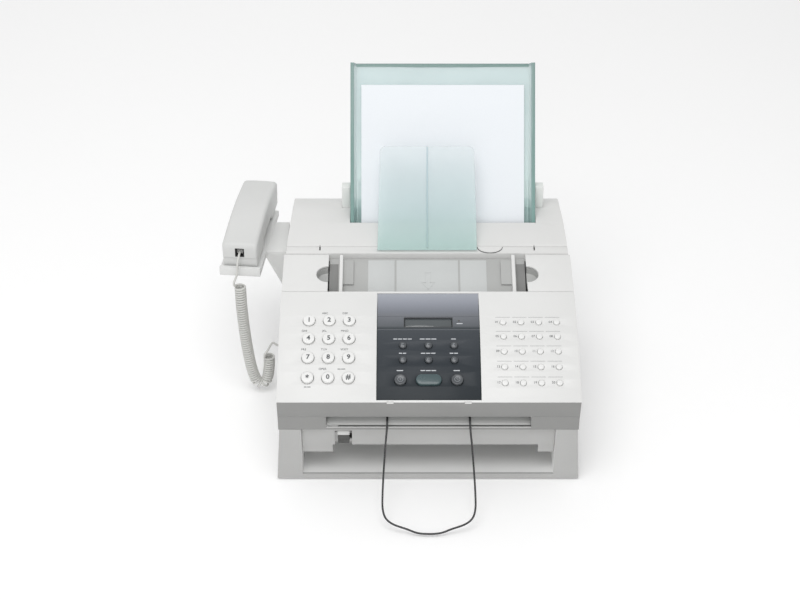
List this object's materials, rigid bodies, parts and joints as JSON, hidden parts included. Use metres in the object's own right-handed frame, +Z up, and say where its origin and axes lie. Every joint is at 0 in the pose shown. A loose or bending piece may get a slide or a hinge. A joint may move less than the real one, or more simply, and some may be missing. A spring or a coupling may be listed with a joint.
{
  "type": "fax machine",
  "caption": "Desktop laser fax machine with side handset on a curly cord, key panel, upright paper and document trays and a wire catch tray.",
  "frame": {"origin": "centre of the bounding box's base, without the handset cord, on the table", "axes": "+Z up, -Y towards the user, +X to the user's right; the handset is on the -X side"},
  "size_m": [0.4617, 0.4979, 0.3994],
  "materials": {
    "base_grey": "fine moulded texture",
    "board_green": "circuit board",
    "white_shell": "fine moulded texture",
    "cord_grey": "flexible sheath",
    "handset_shell": "fine moulded texture",
    "display_glass": "clear window over a dark display",
    "tray_clear": "clear green tint",
    "zinc_steel": "plated can",
    "fascia_dark": "satin dark plastic",
    "grey_deck": "fine moulded texture",
    "rubber_black": "roller rubber",
    "key_dark": "satin keys",
    "dark_plastic": "black plastic",
    "key_white": "satin keys",
    "paper_white": "uncoated paper",
    "plug_clear": "clear plug",
    "start_green": "satin green key",
    "steel_wire": "dark plated wire"
  },
  "bodies": {
    "chassis": {"base_housing": "base_grey", "rear_cover": "white_shell", "hopper_frame": "grey_deck", "cradle": "handset_shell", "toner_cartridge": "dark_plastic", "fuser_unit": "dark_plastic", "main_board": "board_green", "drive_motor": "zinc_steel", "power_inlet": "dark_plastic", "cord_lead_handset": "cord_grey", "cord_coil": "cord_grey", "cord_lead_body": "cord_grey", "plug_body": "plug_clear"},
    "upper_unit": {"upper_housing": "white_shell", "feed_deck": "grey_deck", "image_sensor": "dark_plastic"},
    "panel": {"control_panel": "white_shell", "fascia": "fascia_dark", "display_window": "display_glass", "control_board": "board_green"},
    "feed_roller": {"feed_roller": "rubber_black"},
    "pickup_roller": {"pickup_roller": "rubber_black"},
    "guide_left": {"guide_left": "white_shell"},
    "guide_right": {"guide_right": "white_shell"},
    "wire_tray": {"wire_tray": "steel_wire"},
    "front_cover": {"front_cover": "base_grey"},
    "selector_lever": {"selector_lever": "dark_plastic"},
    "paper_tray": {"paper_tray": "tray_clear"},
    "paper_stack": {"paper_stack": "paper_white"},
    "document_tray": {"document_tray": "tray_clear"},
    "handset": {"handset_body": "handset_shell", "handset_face": "handset_shell", "plug_handset": "plug_clear"},
    "hook_plunger": {"hook_plunger": "dark_plastic"},
    "key_star": {"key_star": "key_white"},
    "key_0": {"key_0": "key_white"},
    "key_hash": {"key_hash": "key_white"},
    "key_7": {"key_7": "key_white"},
    "key_8": {"key_8": "key_white"},
    "key_9": {"key_9": "key_white"},
    "key_4": {"key_4": "key_white"},
    "key_5": {"key_5": "key_white"},
    "key_6": {"key_6": "key_white"},
    "key_1": {"key_1": "key_white"},
    "key_2": {"key_2": "key_white"},
    "key_3": {"key_3": "key_white"},
    "function_key_1": {"function_key_1": "key_dark"},
    "function_key_2": {"function_key_2": "key_dark"},
    "function_key_3": {"function_key_3": "key_dark"},
    "function_key_4": {"function_key_4": "key_dark"},
    "function_key_5": {"function_key_5": "key_dark"},
    "function_key_6": {"function_key_6": "key_dark"},
    "round_key_left": {"round_key_left": "key_dark"},
    "round_key_right": {"round_key_right": "key_dark"},
    "start_key": {"start_key": "start_green"},
    "one_touch_row_1": {"one_touch_row_1": "key_white"},
    "one_touch_row_2": {"one_touch_row_2": "key_white"},
    "one_touch_row_3": {"one_touch_row_3": "key_white"},
    "one_touch_row_4": {"one_touch_row_4": "key_white"},
    "one_touch_row_5": {"one_touch_row_5": "key_white"}
  },
  "joints": [
    {"name": "upper_unit_hinge", "type": "hinge", "parent": "chassis", "child": "upper_unit", "pos_m": [0.04013, 0.06944, 0.2044], "axis": [-1, 0, 0], "range_deg": [0, 40]},
    {"name": "panel_hinge", "type": "hinge", "parent": "upper_unit", "child": "panel", "pos_m": [0.04013, -0.14226, 0.1013], "axis": [1, 0, 0], "range_deg": [0, 38]},
    {"name": "feed_roller_spin", "type": "hinge", "parent": "upper_unit", "child": "feed_roller", "pos_m": [0.04013, -0.01376, 0.15548], "axis": [1, 0, 0], "continuous": true},
    {"name": "pickup_roller_spin", "type": "hinge", "parent": "chassis", "child": "pickup_roller", "pos_m": [0.04013, 0.05124, 0.1585], "axis": [1, 0, 0], "continuous": true},
    {"name": "guide_left_slide", "type": "slide", "parent": "upper_unit", "child": "guide_left", "axis": [1, 0, 0], "range_m": [-0.008, 0.03]},
    {"name": "guide_right_slide", "type": "slide", "parent": "upper_unit", "child": "guide_right", "axis": [1, 0, 0], "range_m": [-0.03, 0.008]},
    {"name": "wire_tray_hinge", "type": "hinge", "parent": "upper_unit", "child": "wire_tray", "pos_m": [0.04013, -0.12976, 0.097], "axis": [-1, 0, 0], "range_deg": [0, 44]},
    {"name": "front_cover_hinge", "type": "hinge", "parent": "chassis", "child": "front_cover", "pos_m": [0.04013, -0.13426, 0.077], "axis": [-1, 0, 0], "range_deg": [0, 38]},
    {"name": "selector_lever_hinge", "type": "hinge", "parent": "chassis", "child": "selector_lever", "pos_m": [-0.06587, -0.12176, 0.0505], "axis": [1, 0, 0], "range_deg": [-10, 14]},
    {"name": "paper_tray_lift", "type": "slide", "parent": "chassis", "child": "paper_tray", "axis": [0, 0.5592, 0.829], "range_m": [0, 0.2]},
    {"name": "paper_lift", "type": "slide", "parent": "paper_tray", "child": "paper_stack", "axis": [0, 0.5592, 0.829], "range_m": [0, 0.2]},
    {"name": "document_tray_lift", "type": "slide", "parent": "chassis", "child": "document_tray", "axis": [0, 0.5592, 0.829], "range_m": [0, 0.12]},
    {"name": "handset_lift", "type": "slide", "parent": "chassis", "child": "handset", "axis": [0, 0, 1], "range_m": [0, 0.09]},
    {"name": "hook_plunger_rise", "type": "slide", "parent": "chassis", "child": "hook_plunger", "axis": [0, 0, 1], "range_m": [0, 0.0036]},
    {"name": "key_star_press", "type": "slide", "parent": "panel", "child": "key_star", "axis": [0, -0.398, 0.9174], "range_m": [-0.0015, 0], "stiffness_N_per_m": 300, "springref_m": 0.0005},
    {"name": "key_0_press", "type": "slide", "parent": "panel", "child": "key_0", "axis": [0, -0.398, 0.9174], "range_m": [-0.0015, 0], "stiffness_N_per_m": 300, "springref_m": 0.0005},
    {"name": "key_hash_press", "type": "slide", "parent": "panel", "child": "key_hash", "axis": [0, -0.398, 0.9174], "range_m": [-0.0015, 0], "stiffness_N_per_m": 300, "springref_m": 0.0005},
    {"name": "key_7_press", "type": "slide", "parent": "panel", "child": "key_7", "axis": [0, -0.398, 0.9174], "range_m": [-0.0015, 0], "stiffness_N_per_m": 300, "springref_m": 0.0005},
    {"name": "key_8_press", "type": "slide", "parent": "panel", "child": "key_8", "axis": [0, -0.398, 0.9174], "range_m": [-0.0015, 0], "stiffness_N_per_m": 300, "springref_m": 0.0005},
    {"name": "key_9_press", "type": "slide", "parent": "panel", "child": "key_9", "axis": [0, -0.398, 0.9174], "range_m": [-0.0015, 0], "stiffness_N_per_m": 300, "springref_m": 0.0005},
    {"name": "key_4_press", "type": "slide", "parent": "panel", "child": "key_4", "axis": [0, -0.398, 0.9174], "range_m": [-0.0015, 0], "stiffness_N_per_m": 300, "springref_m": 0.0005},
    {"name": "key_5_press", "type": "slide", "parent": "panel", "child": "key_5", "axis": [0, -0.398, 0.9174], "range_m": [-0.0015, 0], "stiffness_N_per_m": 300, "springref_m": 0.0005},
    {"name": "key_6_press", "type": "slide", "parent": "panel", "child": "key_6", "axis": [0, -0.398, 0.9174], "range_m": [-0.0015, 0], "stiffness_N_per_m": 300, "springref_m": 0.0005},
    {"name": "key_1_press", "type": "slide", "parent": "panel", "child": "key_1", "axis": [0, -0.398, 0.9174], "range_m": [-0.0015, 0], "stiffness_N_per_m": 300, "springref_m": 0.0005},
    {"name": "key_2_press", "type": "slide", "parent": "panel", "child": "key_2", "axis": [0, -0.398, 0.9174], "range_m": [-0.0015, 0], "stiffness_N_per_m": 300, "springref_m": 0.0005},
    {"name": "key_3_press", "type": "slide", "parent": "panel", "child": "key_3", "axis": [0, -0.398, 0.9174], "range_m": [-0.0015, 0], "stiffness_N_per_m": 300, "springref_m": 0.0005},
    {"name": "function_key_1_press", "type": "slide", "parent": "panel", "child": "function_key_1", "axis": [0, -0.398, 0.9174], "range_m": [-0.0015, 0], "stiffness_N_per_m": 300, "springref_m": 0.0005},
    {"name": "function_key_2_press", "type": "slide", "parent": "panel", "child": "function_key_2", "axis": [0, -0.398, 0.9174], "range_m": [-0.0015, 0], "stiffness_N_per_m": 300, "springref_m": 0.0005},
    {"name": "function_key_3_press", "type": "slide", "parent": "panel", "child": "function_key_3", "axis": [0, -0.398, 0.9174], "range_m": [-0.0015, 0], "stiffness_N_per_m": 300, "springref_m": 0.0005},
    {"name": "function_key_4_press", "type": "slide", "parent": "panel", "child": "function_key_4", "axis": [0, -0.398, 0.9174], "range_m": [-0.0015, 0], "stiffness_N_per_m": 300, "springref_m": 0.0005},
    {"name": "function_key_5_press", "type": "slide", "parent": "panel", "child": "function_key_5", "axis": [0, -0.398, 0.9174], "range_m": [-0.0015, 0], "stiffness_N_per_m": 300, "springref_m": 0.0005},
    {"name": "function_key_6_press", "type": "slide", "parent": "panel", "child": "function_key_6", "axis": [0, -0.398, 0.9174], "range_m": [-0.0015, 0], "stiffness_N_per_m": 300, "springref_m": 0.0005},
    {"name": "round_key_left_press", "type": "slide", "parent": "panel", "child": "round_key_left", "axis": [0, -0.398, 0.9174], "range_m": [-0.0015, 0], "stiffness_N_per_m": 300, "springref_m": 0.0005},
    {"name": "round_key_right_press", "type": "slide", "parent": "panel", "child": "round_key_right", "axis": [0, -0.398, 0.9174], "range_m": [-0.0015, 0], "stiffness_N_per_m": 300, "springref_m": 0.0005},
    {"name": "start_key_press", "type": "slide", "parent": "panel", "child": "start_key", "axis": [0, -0.398, 0.9174], "range_m": [-0.0015, 0], "stiffness_N_per_m": 300, "springref_m": 0.0005},
    {"name": "one_touch_row_1_press", "type": "slide", "parent": "panel", "child": "one_touch_row_1", "axis": [0, -0.398, 0.9174], "range_m": [-0.0015, 0], "stiffness_N_per_m": 500, "springref_m": 0.0005},
    {"name": "one_touch_row_2_press", "type": "slide", "parent": "panel", "child": "one_touch_row_2", "axis": [0, -0.398, 0.9174], "range_m": [-0.0015, 0], "stiffness_N_per_m": 500, "springref_m": 0.0005},
    {"name": "one_touch_row_3_press", "type": "slide", "parent": "panel", "child": "one_touch_row_3", "axis": [0, -0.398, 0.9174], "range_m": [-0.0015, 0], "stiffness_N_per_m": 500, "springref_m": 0.0005},
    {"name": "one_touch_row_4_press", "type": "slide", "parent": "panel", "child": "one_touch_row_4", "axis": [0, -0.398, 0.9174], "range_m": [-0.0015, 0], "stiffness_N_per_m": 500, "springref_m": 0.0005},
    {"name": "one_touch_row_5_press", "type": "slide", "parent": "panel", "child": "one_touch_row_5", "axis": [0, -0.398, 0.9174], "range_m": [-0.0015, 0], "stiffness_N_per_m": 500, "springref_m": 0.0005}
  ],
  "couplings": [
    {"joint": "guide_right_slide", "follows": "guide_left_slide", "ratio": -1},
    {"joint": "hook_plunger_rise", "follows": "handset_lift", "ratio": 0.04}
  ]
}
